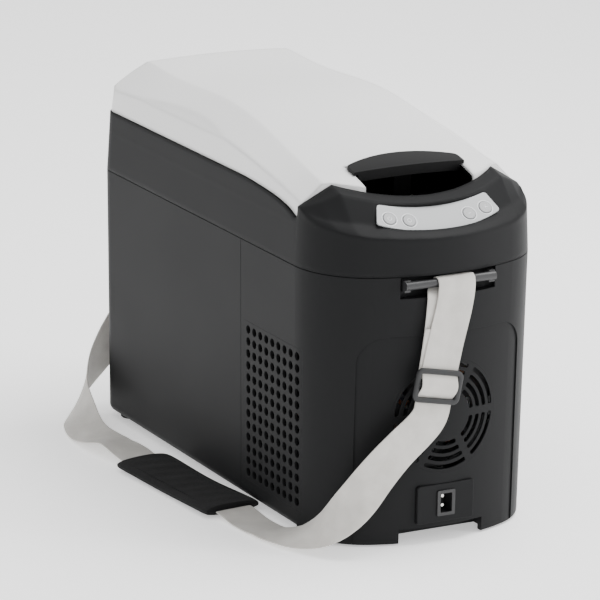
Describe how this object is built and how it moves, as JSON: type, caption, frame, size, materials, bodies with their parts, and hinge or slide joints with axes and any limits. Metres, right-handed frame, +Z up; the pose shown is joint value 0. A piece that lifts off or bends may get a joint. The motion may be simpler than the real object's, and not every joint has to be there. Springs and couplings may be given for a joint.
{
  "type": "compressor cooler fridge",
  "caption": "Portable chest cooler with a hinged crowned lid, lever latch, sloped control fascia, fan and vent grilles, and a padded shoulder strap.",
  "frame": {"origin": "on the floor, under the middle of the cabinet's bounding box", "axes": "+X towards the control and fan end, +Y across the cabinet, away from the side the strap lies on, +Z up"},
  "size_m": [0.5372, 0.3018, 0.3688],
  "materials": {
    "charcoal_shell": "matte",
    "charcoal_grille": "matte",
    "white_lid": "satin",
    "white_liner": "gloss",
    "food_liner": "gloss",
    "foam": "matte",
    "gasket": "matte",
    "evaporator": "satin",
    "base_metal": "matte",
    "foot_rubber": "matte",
    "handle_black": "satin",
    "pocket_black": "matte",
    "pin_steel": "satin",
    "bar_metal": "satin",
    "compressor_paint": "satin",
    "grommet_rubber": "matte",
    "controller_case": "matte",
    "fin_aluminium": "satin",
    "copper": "satin",
    "fan_black": "satin",
    "socket_black": "satin",
    "contact_pin": "polished",
    "fascia_silver": "satin",
    "board_green": "matte",
    "key_grey": "satin",
    "webbing": "matte",
    "slider_black": "satin",
    "pad_black": "matte"
  },
  "bodies": {
    "cabinet": {"rear_shell": "charcoal_shell", "compressor_housing": "charcoal_shell", "collar": "charcoal_shell", "left_vent_grille": "charcoal_grille", "right_vent_grille": "charcoal_grille", "fan_grille": "charcoal_grille", "inlet_panel": "charcoal_grille", "inner_liner": "food_liner", "foam_insulation": "foam", "evaporator_sheet": "evaporator", "base_plate": "base_metal", "front_left_foot": "foot_rubber", "front_right_foot": "foot_rubber", "rear_left_foot": "foot_rubber", "rear_right_foot": "foot_rubber", "latch_strike": "pocket_black", "left_hinge_pin": "pin_steel", "right_hinge_pin": "pin_steel", "front_strap_bar": "bar_metal", "rear_strap_bar": "bar_metal", "compressor": "compressor_paint", "compressor_grommets": "grommet_rubber", "compressor_controller": "controller_case", "condenser_fins": "fin_aluminium", "condenser_tube": "copper", "filter_drier": "copper", "fan_frame": "fan_black", "inlet_socket": "socket_black", "inlet_pins": "contact_pin", "display_fascia": "fascia_silver", "display_board": "board_green", "strap_front_loop": "webbing", "strap_webbing": "webbing", "strap_rear_run": "webbing", "strap_slider": "slider_black", "shoulder_pad": "pad_black"},
    "lid": {"lid_shell": "white_lid", "lid_liner": "white_liner", "lid_gasket": "gasket", "lid_foam": "foam", "latch_pocket": "pocket_black", "latch_pin": "pin_steel"},
    "latch": {"latch_handle": "handle_black"},
    "power_key": {"power_button": "key_grey"},
    "select_key": {"select_button": "key_grey"},
    "colder_key": {"colder_button": "key_grey"},
    "warmer_key": {"warmer_button": "key_grey"},
    "fan": {"fan_rotor": "fan_black"}
  },
  "joints": [
    {"name": "lid_hinge", "type": "hinge", "parent": "cabinet", "child": "lid", "pos_m": [-0.252, 0, 0.316], "axis": [0, -1, 0], "range_deg": [0, 95]},
    {"name": "latch_pivot", "type": "hinge", "parent": "lid", "child": "latch", "pos_m": [0.1442, 0, 0.3382], "axis": [0, -1, 0], "range_deg": [0, 15], "stiffness_Nm_per_rad": 0.05, "springref_deg": -8.59},
    {"name": "power_press", "type": "slide", "parent": "cabinet", "child": "power_key", "axis": [-0.673, 0, -0.7396], "range_m": [0, 0.0008], "stiffness_N_per_m": 300, "springref_m": -0.0008},
    {"name": "select_press", "type": "slide", "parent": "cabinet", "child": "select_key", "axis": [-0.673, 0, -0.7396], "range_m": [0, 0.0008], "stiffness_N_per_m": 300, "springref_m": -0.0008},
    {"name": "colder_press", "type": "slide", "parent": "cabinet", "child": "colder_key", "axis": [-0.673, 0, -0.7396], "range_m": [0, 0.0008], "stiffness_N_per_m": 300, "springref_m": -0.0008},
    {"name": "warmer_press", "type": "slide", "parent": "cabinet", "child": "warmer_key", "axis": [-0.673, 0, -0.7396], "range_m": [0, 0.0008], "stiffness_N_per_m": 300, "springref_m": -0.0008},
    {"name": "fan_spin", "type": "hinge", "parent": "cabinet", "child": "fan", "pos_m": [0.2185, 0, 0.1215], "axis": [1, 0, 0], "continuous": true}
  ]
}
